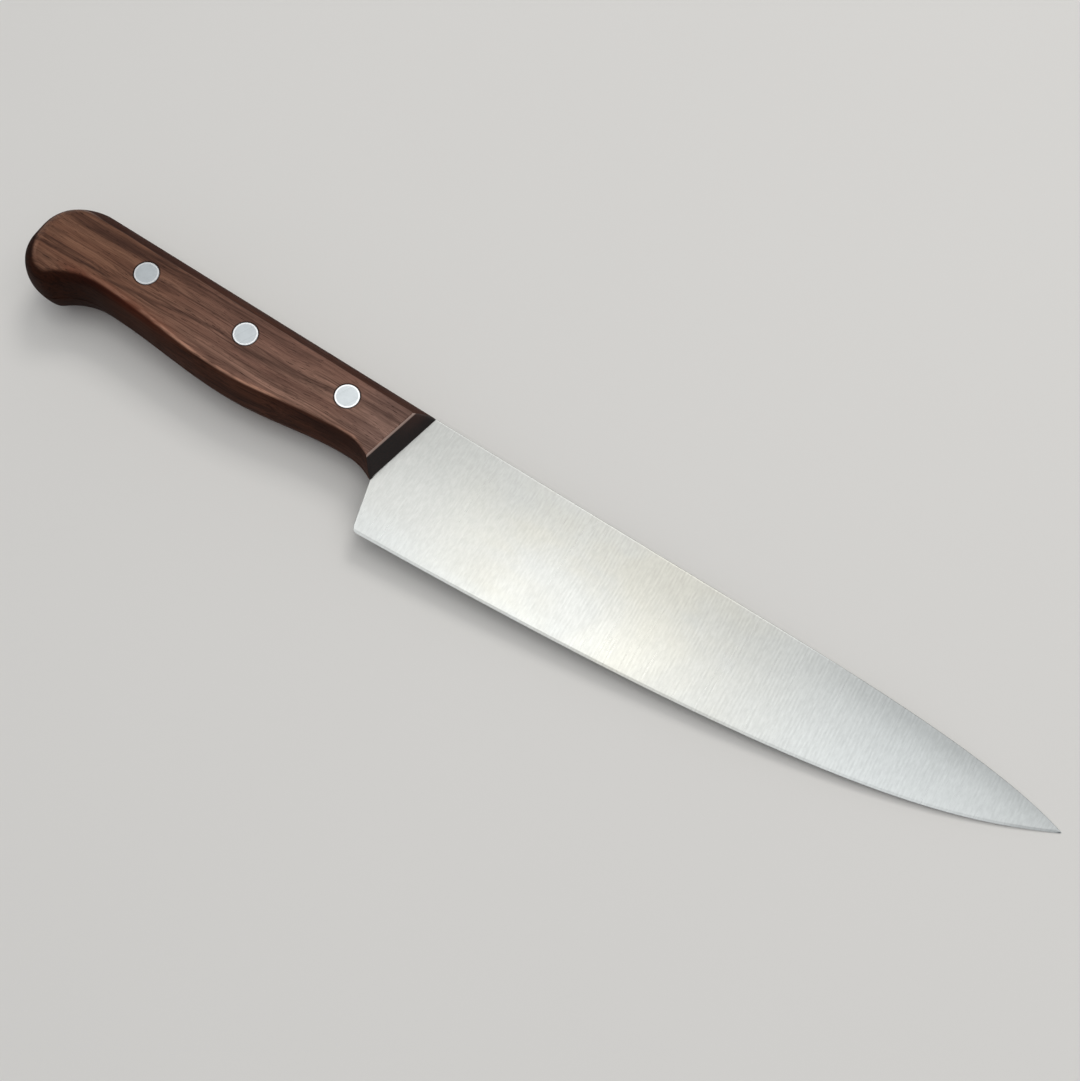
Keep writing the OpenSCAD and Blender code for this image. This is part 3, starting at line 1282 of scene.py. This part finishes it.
    def ground_blank(self) -> Piece:
        """Make the ground part of the steel as a closed mesh.

        Returns:
            The blank, which the tang is welded to.
        """
        columns = self.side()
        wide, tall = len(columns), len(columns[0])
        places = [self.layout.at(x, y, s * z) for s in (1, -1) for column in columns for x, y, z in column]
        under = wide * tall
        faces = []
        for i in range(wide - 1):
            for j in range(tall - 1):
                a = i * tall + j
                quad = (a, a + 1, a + tall + 1, a + tall)
                faces += [quad, tuple(under + v for v in reversed(quad))]
        for j in range(tall - 1):
            for a in (j, (wide - 1) * tall + j):
                faces.append((a, a + 1, under + a + 1, under + a))
        for i in range(wide - 1):
            for a in (i * tall, i * tall + tall - 1):
                faces.append((a, a + tall, under + a + tall, under + a))
        return mesh_object("blade_body", places, faces)

    def tang_belly(self, gap: float = 0.0) -> list[Point]:
        """Return the tang's lower outline.

        Args:
            gap: Clearance round the tang, for the pocket that takes it.

        Returns:
            The places from the tang's rounded rear corner to the handle's front.
        """
        top = self.back_slope * -self.tang_len
        corner = (self.tang_end_r - self.tang_len, top + self.tang_end_r - self.tang_end_h)
        shoulder = (self.front_low[0] - self.tang_shoulder, -self.tang_h - gap)
        front = (self.tang_front[0], self.tang_front[1] - gap)
        return [*arc(corner, self.tang_end_r + gap, 180, 270, self.corner_steps), shoulder, front]

    def tang(self) -> Piece:
        """Make the flat tang.

        Returns:
            The tang, with its edges eased where they show along the back.
        """
        outline = [(0.0, 0.0), (-self.tang_len, self.back_slope * -self.tang_len), *self.tang_belly()]
        eased = [(x, y - (self.ease if i < 2 else 0)) for i, (x, y) in enumerate(outline)]
        half = self.steel_t / 2
        levels = ((eased, -half), (outline, self.ease - half), (outline, half - self.ease), (eased, half))
        return stack("tang", self.layout, [at_height(ring, z) for ring, z in levels])

    def build(self, steel: Material) -> None:
        """Make the steel and dress it.

        Args:
            steel: Finish of the whole piece.
        """
        piece = self.ground_blank()
        combine(piece, [self.tang()], "UNION")
        bore = ((self.barrel_hole_r, -self.steel_t), (self.barrel_hole_r, self.steel_t))
        rivets = self.layout.rivets
        drills = [turned("drill", self.layout, centre, bore, self.bore_steps) for centre in rivets]
        combine(piece, drills, "DIFFERENCE")
        finish_mesh(piece, self.crease, steel)
        place_piece(piece, Slot.STEEL, ["blade"])


# ---- Handle scales ----


@dataclass(frozen=True)
class Rim:
    """How a scale's wall stands at one place: its lean and the rounding above it."""

    lean: float
    rounding: float

    def blend(self, other: Rim, t: float) -> Rim:
        """Return the rim at share t of the way to another.

        Args:
            other: The rim at the end of the way.
            t: Share of the way.

        Returns:
            The rim between the two.
        """
        return Rim(
            self.lean + (other.lean - self.lean) * t,
            self.rounding + (other.rounding - self.rounding) * t,
        )


@dataclass(frozen=True)
class HandleScale:
    """One wood scale, shaped from its joint on the steel out to its flat side."""

    layout: Layout
    blade: Blade
    back_rise: float = 1.0
    front_lean: float = 20.0
    waist: Point = (-15.0, -21.2)
    swell: Point = (-54.0, -25.1)
    notch: Point = (-96.0, -22.6)
    beak_depth: float = 28.3
    beak_tip_r: float = 5.5
    beak_r: float = 12.2
    butt_r: float = 14.0
    back_rim: Rim = Rim(4.8, 0.3)
    butt_rim: Rim = Rim(3.8, 3.2)
    beak_rim: Rim = Rim(2.2, 3.0)
    notch_rim: Rim = Rim(2.2, 2.4)
    swell_rim: Rim = Rim(2.6, 1.2)
    waist_rim: Rim = Rim(2.4, 1.0)
    front_rim: Rim = Rim(1.6, 0.5)
    wall_power: float = 1.7
    joint_ease: float = 0.18
    front_ease: float = 0.25
    head_gap: float = 0.05
    head_h: float = 3.0
    tang_gap: float = 0.05
    top_border: float = 0.35
    wall_rows: tuple[float, ...] = (1 / 9, 2 / 9, 3 / 9, 4 / 9, 5 / 9, 5.7 / 9)
    edge_rows: int = 13
    edge_band: float = 2.7
    overrun: float = 8.0
    overrun_turn: float = 16.0
    cut_reach: float = 30.0
    front_depth: float = 12.0
    front_facing: float = 0.72
    around: int = 420
    across_front: int = 16
    bore_steps: int = 96
    crease: float = 32.0

    @cached_property
    def outline(self) -> list[tuple[Point, Point, Rim]]:
        """The widest outline.

        Returns:
            Each place with its outward direction and its rim, from ahead of the front along
            the back, round the butt and the beak, and along the belly past the front again.
        """
        made: list[tuple[Point, Point, Rim]] = []
        for count, first, last, track in (*self.upper_tracks(), *self.lower_tracks()):
            for i in range(1 if made else 0, count + 1):
                spot, out = track(i / count)
                made.append((spot, out, first.blend(last, smooth(i / count))))
        return made

    @property
    def beak(self) -> Point:
        """Centre of the arc from the butt down to the beak."""
        return (self.beak_r - self.layout.handle_len, self.beak_r - self.beak_depth)

    def upper_tracks(self) -> list[tuple[int, Rim, Rim, Track]]:
        """Return the stretches of the outline from ahead of the front, along the back, to the beak.

        Returns:
            Number of steps, first rim, last rim and track of each stretch.
        """
        rear = -self.layout.handle_len
        butt = (self.butt_r + rear, self.back_rise - self.butt_r)
        ahead = (self.overrun, self.overrun * self.back_rise / butt[0])
        return [
            (120, self.back_rim, self.back_rim, straight(ahead, (butt[0], self.back_rise))),
            (30, self.back_rim, self.butt_rim, bend(butt, self.butt_r, 90, 180)),
            (3, self.butt_rim, self.butt_rim, straight((rear, butt[1]), (rear, self.beak[1]))),
            (30, self.butt_rim, self.beak_rim, bend(self.beak, self.beak_r, 180, 270)),
        ]

    def lower_tracks(self) -> list[tuple[int, Rim, Rim, Track]]:
        """Return the stretches of the outline from the beak, along the belly, past the front.

        Returns:
            Number of steps, first rim, last rim and track of each stretch.
        """
        reach, drop = self.notch[0] - self.beak[0], self.beak_depth + self.notch[1]
        sweep = 2 * math.degrees(math.atan(drop / reach))
        notch_r = (reach**2 + drop**2) / (2 * drop) - self.beak_tip_r
        tip = (self.beak[0], self.beak_tip_r - self.beak_depth)
        hollow = (self.notch[0], self.notch[1] - notch_r)
        flare = (self.blade.front_low[0] - self.waist[0], self.blade.front_low[1] - self.waist[1])
        flare_r = (flare[0] ** 2 + flare[1] ** 2) / (-2 * flare[1])
        flare_end = 90 - math.degrees(math.asin(flare[0] / flare_r))
        root = (self.waist[0], self.waist[1] - flare_r)
        past = flare_end - self.overrun_turn
        return [
            (10, self.beak_rim, self.beak_rim, bend(tip, self.beak_tip_r, 270, 270 + sweep)),
            (16, self.beak_rim, self.notch_rim, bend(hollow, notch_r, 90 + sweep, 90)),
            (44, self.notch_rim, self.swell_rim, wave(self.notch, self.swell)),
            (44, self.swell_rim, self.waist_rim, wave(self.swell, self.waist)),
            (20, self.waist_rim, self.front_rim, bend(root, flare_r, 90, flare_end)),
            (8, self.front_rim, self.front_rim, bend(root, flare_r, flare_end, past)),
        ]

    def levels(self) -> list[float]:
        """Return the heights of the rings, closer together where the edges round over.

        Returns:
            The heights, from the joint on the steel up to the flat side.
        """
        height, rows = self.layout.half_t, self.edge_rows
        walls = [0.0, self.joint_ease, *(height * share for share in self.wall_rows)]
        turns = (math.sin(math.pi / 2 * i / rows) for i in range(rows + 1))
        return [*walls, *(height - self.edge_band * (1 - turn) for turn in turns)]

    def rounded_in(self, z: float, radius: float) -> float:
        """Return how far a rounding of the top edge has come in at height z."""
        over = z - (self.layout.half_t - radius)
        return 0.0 if over <= 0 else radius - math.sqrt(max(0.0, radius**2 - over**2))

    def inset(self, z: float, rim: Rim) -> float:
        """Return how far the wall has come in at height z.

        Args:
            z: Height above the middle of the steel.
            rim: How the wall stands there.

        Returns:
            The distance inwards.
        """
        lean = rim.lean * (z / self.layout.half_t) ** self.wall_power
        joint = max(0.0, self.joint_ease - z)
        return lean + self.rounded_in(z, rim.rounding) + joint

    def setback(self, z: float) -> float:
        """Return how far the front has leaned back at height z.

        Args:
            z: Height above the middle of the steel.

        Returns:
            The distance back from the front.
        """
        lean = math.tan(math.radians(self.front_lean)) / math.cos(math.radians(self.blade.front_slant))
        upright = self.blade.steel_t / 2
        return max(0.0, z - upright) * lean + self.rounded_in(z, self.front_ease)

    def ring(self, z: float, extra: float = 0.0) -> list[Place]:
        """Return the level outline of the scale at height z.

        Args:
            z: Height above the middle of the steel.
            extra: Further distance inwards, for the ring that edges the flat side.

        Returns:
            The places in order: along the back, the butt and the belly, then up the front.
        """
        tan = math.tan(math.radians(self.blade.front_slant))
        insets = [self.inset(z, rim) + extra for _, _, rim in self.outline]
        spots = np.array([(x - nx * s, y - ny * s) for ((x, y), (nx, ny), _), s in zip(self.outline, insets)])
        base = np.array([spot for spot, _, _ in self.outline])
        along = np.concatenate([[0.0], np.cumsum(np.hypot(*np.diff(base, axis=0).T))])
        ahead = spots[:, 0] - spots[:, 1] * tan + self.setback(z) + extra
        first = int(np.argmax(ahead < 0))
        last = len(ahead) - int(np.argmax(ahead[::-1] < 0))
        start, end = (
            along[i - 1] + (along[i] - along[i - 1]) * ahead[i - 1] / (ahead[i - 1] - ahead[i])
            for i in (first, last)
        )
        where = np.linspace(start, end, self.around + 1)
        wall = list(zip(*(np.interp(where, along, spots[:, k]).tolist() for k in (0, 1))))
        front = [tuple(spot) for spot in np.linspace(wall[-1], wall[0], self.across_front + 1)[1:-1].tolist()]
        return at_height(self.eased([*wall, *front], (0, len(wall) - 1)), z)

    def eased(self, loop: list[Point], corners: Sequence[int]) -> list[Point]:
        """Ease sharp corners of a closed loop.

        Args:
            loop: Places of the loop.
            corners: Numbers of the places to ease.

        Returns:
            The loop with three places for each such corner.
        """
        made: list[Point] = []
        for i, spot in enumerate(loop):
            if i not in corners:
                made.append(spot)
                continue
            here, before, after = Vector(spot), Vector(loop[i - 1]), Vector(loop[(i + 1) % len(loop)])
            a = here + (before - here).normalized() * self.front_ease
            b = here + (after - here).normalized() * self.front_ease
            middle = (a + b) * 0.25 + here * 0.5
            made += [tuple(a), tuple(middle), tuple(b)]
        return made

    def blank(self, side: Side) -> Piece:
        """Make the scale's rounded body.

        Args:
            side: The side of the steel.

        Returns:
            The body, before it is cut for the tang and the rivets.
        """
        s, top = side.value, self.layout.half_t
        rings = [*(self.ring(z) for z in self.levels()), self.ring(top, self.top_border)]
        mirrored = [[(x, y, s * z) for x, y, z in ring] for ring in rings]
        return stack(f"{side.name.lower()}_scale_wood", self.layout, mirrored)

    def pocket(self) -> Piece:
        """Make the cutter for the tang's pocket.

        Returns:
            The cutter, which reaches past the handle's back and front.
        """
        belly, reach = self.blade.tang_belly(self.tang_gap), self.cut_reach
        rear = -self.blade.tang_len - self.tang_gap
        outline = [(reach, reach), (rear, reach), *belly, (reach, belly[-1][1])]
        half = self.blade.steel_t / 2
        return stack("pocket", self.layout, [at_height(outline, z) for z in (-half, half)])

    def counterbore(self, centre: Point, side: Side) -> Piece:
        """Make the cutter for one rivet.

        Args:
            centre: Place of the rivet.
            side: The side of the steel.

        Returns:
            The cutter, with the head's wide bore above the barrel's narrow one.
        """
        wide, narrow = self.layout.head_r + self.head_gap, self.blade.barrel_hole_r
        seat, above = self.layout.half_t - self.head_h, self.layout.half_t + 2
        s = side.value
        profile = ((narrow, -2.0 * s), (narrow, seat * s), (wide, seat * s), (wide, above * s))
        return turned("counterbore", self.layout, centre, profile, self.bore_steps)

    def build(self, side: Side, wood: Material, end_grain: Material) -> None:
        """Make one scale and dress it.

        Args:
            side: The side of the steel.
            wood: Finish of the sides.
            end_grain: Finish of the front.
        """
        piece = self.blank(side)
        cutters = [self.pocket(), *(self.counterbore(centre, side) for centre in self.layout.rivets)]
        combine(piece, cutters, "DIFFERENCE")
        finish_mesh(piece, self.crease, wood, end_grain)
        rear = self.layout.front_x - self.front_depth * MM
        for face in piece.data.polygons:
            face.material_index = int(face.normal.x > self.front_facing and face.center.x > rear)
        place_piece(piece, Slot.WOOD, [f"{side.name.lower()}_scale"])


# ---- Rivets ----


@dataclass(frozen=True)
class RivetRow:
    """Three like halves of the two-part rivets, on one side. Sizes are millimetres."""

    layout: Layout
    name: str
    side: Side
    shank_r: float
    shank_len: float
    end_r: float
    end_depth: float
    head_h: float = 3.0
    ease: float = 0.18
    steps: int = 96
    crease: float = 30.0

    def tree(self, metal: Material) -> Tree:
        """Build the node tree that turns one rivet half and repeats it along a line.

        Args:
            metal: Finish of the rivets.

        Returns:
            The tree, whose inputs are named for the rivet's sizes.
        """
        tree = bpy.data.node_groups.new(f"{self.name}_row", "GeometryNodeTree")
        tree.interface.new_socket("Geometry", in_out="OUTPUT", socket_type="NodeSocketGeometry")
        for label, (kind, _) in self.inputs().items():
            tree.interface.new_socket(label, in_out="INPUT", socket_type=f"NodeSocket{kind}")
        sheet = Sheet(tree).open_ends()
        given = sheet.given
        rise = given("Head Height") - given("Ease")
        sizes = {
            "Vertices": given("Steps"),
            "Radius": given("Shank Radius"),
            "Depth": given("Shank Length"),
        }
        shank = sheet.node("GeometryNodeMeshCylinder", sizes, fill_type="NGON")
        shape, top, low = (Value(sheet, shank.outputs[label]) for label in ("Mesh", "Top", "Bottom"))
        widen = sheet.math("DIVIDE", given("Head Radius"), given("Shank Radius"))
        trim = sheet.math("DIVIDE", given("Head Radius") - given("Ease"), given("Head Radius"))
        narrow = sheet.math("DIVIDE", given("End Radius"), given("Shank Radius"))
        shape, top = self.step(shape, top, 0.0, widen)
        shape, top = self.step(shape, top, rise, 1.0)
        shape, top = self.step(shape, top, given("Ease"), trim)
        shape, low = self.step(shape, low, 0.0, narrow)
        shape, low = self.step(shape, low, given("End Depth") * -1.0, 1.0)
        drop = (given("Shank Length") * 0.5 + given("Head Height")) * -1.0
        down = sheet.vector(0.0, 0.0, drop)
        seated = sheet.feed("GeometryNodeTransform", {"Geometry": shape, "Translation": down})
        along = {"Count": given("Count"), "Start Location": given("First"), "Offset": given("Pitch")}
        row = sheet.feed("GeometryNodeMeshLine", along, mode="OFFSET")
        copies = {"Points": row, "Instance": seated, "Rotation": given("Turn")}
        spread = sheet.feed("GeometryNodeInstanceOnPoints", copies)
        real = sheet.feed("GeometryNodeRealizeInstances", {0: spread})
        dressed = sheet.feed("GeometryNodeSetMaterial", {"Geometry": real, "Material": metal})
        sheet.give("Geometry", dressed)
        return tree

    @staticmethod
    def step(shape: Value, faces: Value, rise: Input, factor: Input) -> tuple[Value, Value]:
        """Draw a turned solid's end face out by one step.

        Args:
            shape: The solid so far.
            faces: Selection of its end face.
            rise: Distance along the face's normal.
            factor: Scale of the drawn face.

        Returns:
            The longer solid and the selection of its new end face.
        """
        sheet = shape.sheet
        pull = {"Mesh": shape, "Selection": faces, "Offset Scale": rise, "Individual": False}
        drawn = sheet.node("GeometryNodeExtrudeMesh", pull, mode="FACES")
        mesh, end = (Value(sheet, drawn.outputs[label]) for label in ("Mesh", "Top"))
        resize = {"Geometry": mesh, "Selection": end, "Scale": factor}
        return sheet.feed("GeometryNodeScaleElements", resize, domain="FACE"), end

    def inputs(self) -> dict[str, tuple[str, object]]:
        """Work out the tree's inputs.

        Returns:
            Kind and value of each input, by label.
        """
        first, second = self.layout.rivets[:2]
        lengths = {
            "Head Radius": self.layout.head_r,
            "Head Height": self.head_h,
            "Shank Radius": self.shank_r,
            "Shank Length": self.shank_len,
            "End Radius": self.end_r,
            "End Depth": self.end_depth,
            "Ease": self.ease,
        }
        return {
            **{label: ("Float", length * MM) for label, length in lengths.items()},
            "Steps": ("Int", self.steps),
            "Count": ("Int", len(self.layout.rivets)),
            "First": ("Vector", Vector(self.layout.at(*first, self.side.value * self.layout.half_t))),
            "Pitch": ("Vector", Vector(((second[0] - first[0]) * MM, (second[1] - first[1]) * MM, 0))),
            "Turn": ("Rotation", (0.0 if self.side is Side.RIGHT else math.pi, 0.0, 0.0)),
        }

    def build(self, metal: Material, nodes: Sequence[str]) -> None:
        """Make the row of rivet halves as one plain mesh.

        Args:
            metal: Finish of the rivets.
            nodes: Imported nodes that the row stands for.
        """
        piece = link(bpy.data.objects.new(self.name, bpy.data.meshes.new(self.name)))
        change = piece.modifiers.new("row", "NODES")
        change.node_group = self.tree(metal)
        sockets = {item.name: item.identifier for item in change.node_group.interface.items_tree}
        for label, (_, value) in self.inputs().items():
            change[sockets[label]] = value
        settle(piece)
        finish_mesh(piece, self.crease, metal)
        place_piece(piece, Slot.RIVET, nodes)


# ---- Studio ----


@dataclass(frozen=True)
class Lamp:
    """A soft oblong lamp that hangs over the knife. Places and sizes are metres."""

    name: str
    place: Place
    aim: Place
    size: Point
    power: float
    colour: Colour = (1.0, 1.0, 1.0)

    def hang(self) -> None:
        """Add the lamp to the scene."""
        light = bpy.data.lights.new(self.name, "AREA")
        light.shape = "RECTANGLE"
        light.size, light.size_y = self.size
        light.energy = self.power
        light.color = self.colour
        lamp = link(bpy.data.objects.new(self.name, light))
        lamp.location = self.place
        lamp.rotation_euler = (Vector(self.aim) - Vector(self.place)).to_track_quat("-Z", "Y").to_euler()


@dataclass(frozen=True)
class Studio:
    """Floor, lamps and camera. The knife rests on its tip and on the handle's lower front."""

    layout: Layout
    rest_x: float = -4.0
    tip_half: float = 0.2
    floor_size: float = 4.0
    eye: Place = (0.04795, -0.0796, 0.2958)
    ahead: Place = (-0.1313, 0.2807, -0.9508)
    up: Place = (-0.52, 0.797, 0.3071)
    lens: float = 38.3
    sky: Colour = (0.93, 0.95, 1.0)
    sky_strength: float = 0.28
    lamps: tuple[Lamp, ...] = (
        Lamp("ceiling_panel", (0.15, 0.15, 1.3), (0.15, 0.15, 0.0), (1.9, 1.5), 10.6, (1.0, 0.99, 0.97)),
        Lamp("highlight_lamp", (-0.05, 0.12, 1.0), (-0.05, 0.12, 0.0), (0.24, 0.14), 0.27, (1.0, 0.99, 0.97)),
        Lamp("window_lamp", (-0.1, 0.9, 1.2), (0.0, 0.0, 0.0), (0.5, 0.4), 4.0, (1.0, 0.98, 0.95)),
    )

    def lay_floor(self, finish: Material) -> None:
        """Lay the floor under the tip and under the handle's lower front.

        Args:
            finish: Finish of the floor.
        """
        heel = Vector(self.layout.at(self.rest_x, 0, -self.layout.half_t))
        tip = Vector(self.layout.at(self.layout.blade_len, 0, -self.tip_half))
        run = Vector((tip.x - heel.x, 0, tip.z - heel.z)).normalized() * self.floor_size / 2
        side = Vector((0, self.floor_size / 2, 0))
        corners = [heel + run * a + side * b for a, b in ((-1, -1), (1, -1), (1, 1), (-1, 1))]
        mesh = bpy.data.meshes.new("floor")
        mesh.from_pydata(corners, [], [(0, 1, 2, 3)])
        mesh.materials.append(finish)
        link(bpy.data.objects.new("floor", mesh))

    def light(self) -> None:
        """Hang the lamps and set the sky."""
        for lamp in self.lamps:
            lamp.hang()
        world = bpy.data.worlds.new("studio_sky")
        world.use_nodes = True
        background = world.node_tree.nodes["Background"]
        background.inputs["Color"].default_value = (*self.sky, 1.0)
        background.inputs["Strength"].default_value = self.sky_strength
        bpy.context.scene.world = world
        bpy.context.scene.view_settings.view_transform = "Standard"

    def set_camera(self) -> None:
        """Place the camera above the knife's edge, near the middle of its length."""
        ahead = Vector(self.ahead).normalized()
        right = ahead.cross(Vector(self.up)).normalized()
        up = right.cross(ahead)
        turn = Matrix((right, up, -ahead)).transposed()
        camera = link(bpy.data.objects.new("camera", bpy.data.cameras.new("camera")))
        camera.data.lens = self.lens
        camera.data.sensor_width = 36.0
        camera.data.clip_start = 0.01
        camera.matrix_world = Matrix.Translation(self.eye) @ turn.to_4x4()
        bpy.context.scene.camera = camera

    def build(self, floor: Material) -> None:
        """Set up the whole studio.

        Args:
            floor: Finish of the floor.
        """
        self.set_camera()
        self.lay_floor(floor)
        self.light()


def main() -> None:
    """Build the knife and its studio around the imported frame."""
    logging.basicConfig(level=logging.INFO, format="%(name)s: %(message)s")
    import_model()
    layout = Layout.from_frame(RIVET_DEPTH)
    effects = Effects.make()
    Studio(layout).build(PaleFloor(layout, effects).material("pale_floor"))
    steel = BrushedSteel(layout, effects).material("brushed_steel")
    wood = Rosewood(layout, effects).material("rosewood")
    end_grain = EndGrain(layout, effects).material("end_grain")
    metal = RivetMetal(layout, effects).material("rivet_metal")
    blade = Blade(layout, HEEL_HEIGHT)
    blade.build(steel)
    scale = HandleScale(layout, blade)
    for side in Side:
        scale.build(side, wood, end_grain)
    barrels = RivetRow(
        layout, "rivet_barrels", Side.RIGHT, shank_r=2.0, shank_len=11.7, end_r=1.42, end_depth=13.5
    )
    pins = RivetRow(layout, "rivet_pins", Side.LEFT, shank_r=1.4, shank_len=13.3, end_r=1.2, end_depth=-0.2)
    for row, half in ((barrels, "barrel"), (pins, "pin")):
        row.build(metal, [f"{place}_rivet_{half}" for place in ("front", "middle", "rear")])


if __name__ == "__main__":
    main()
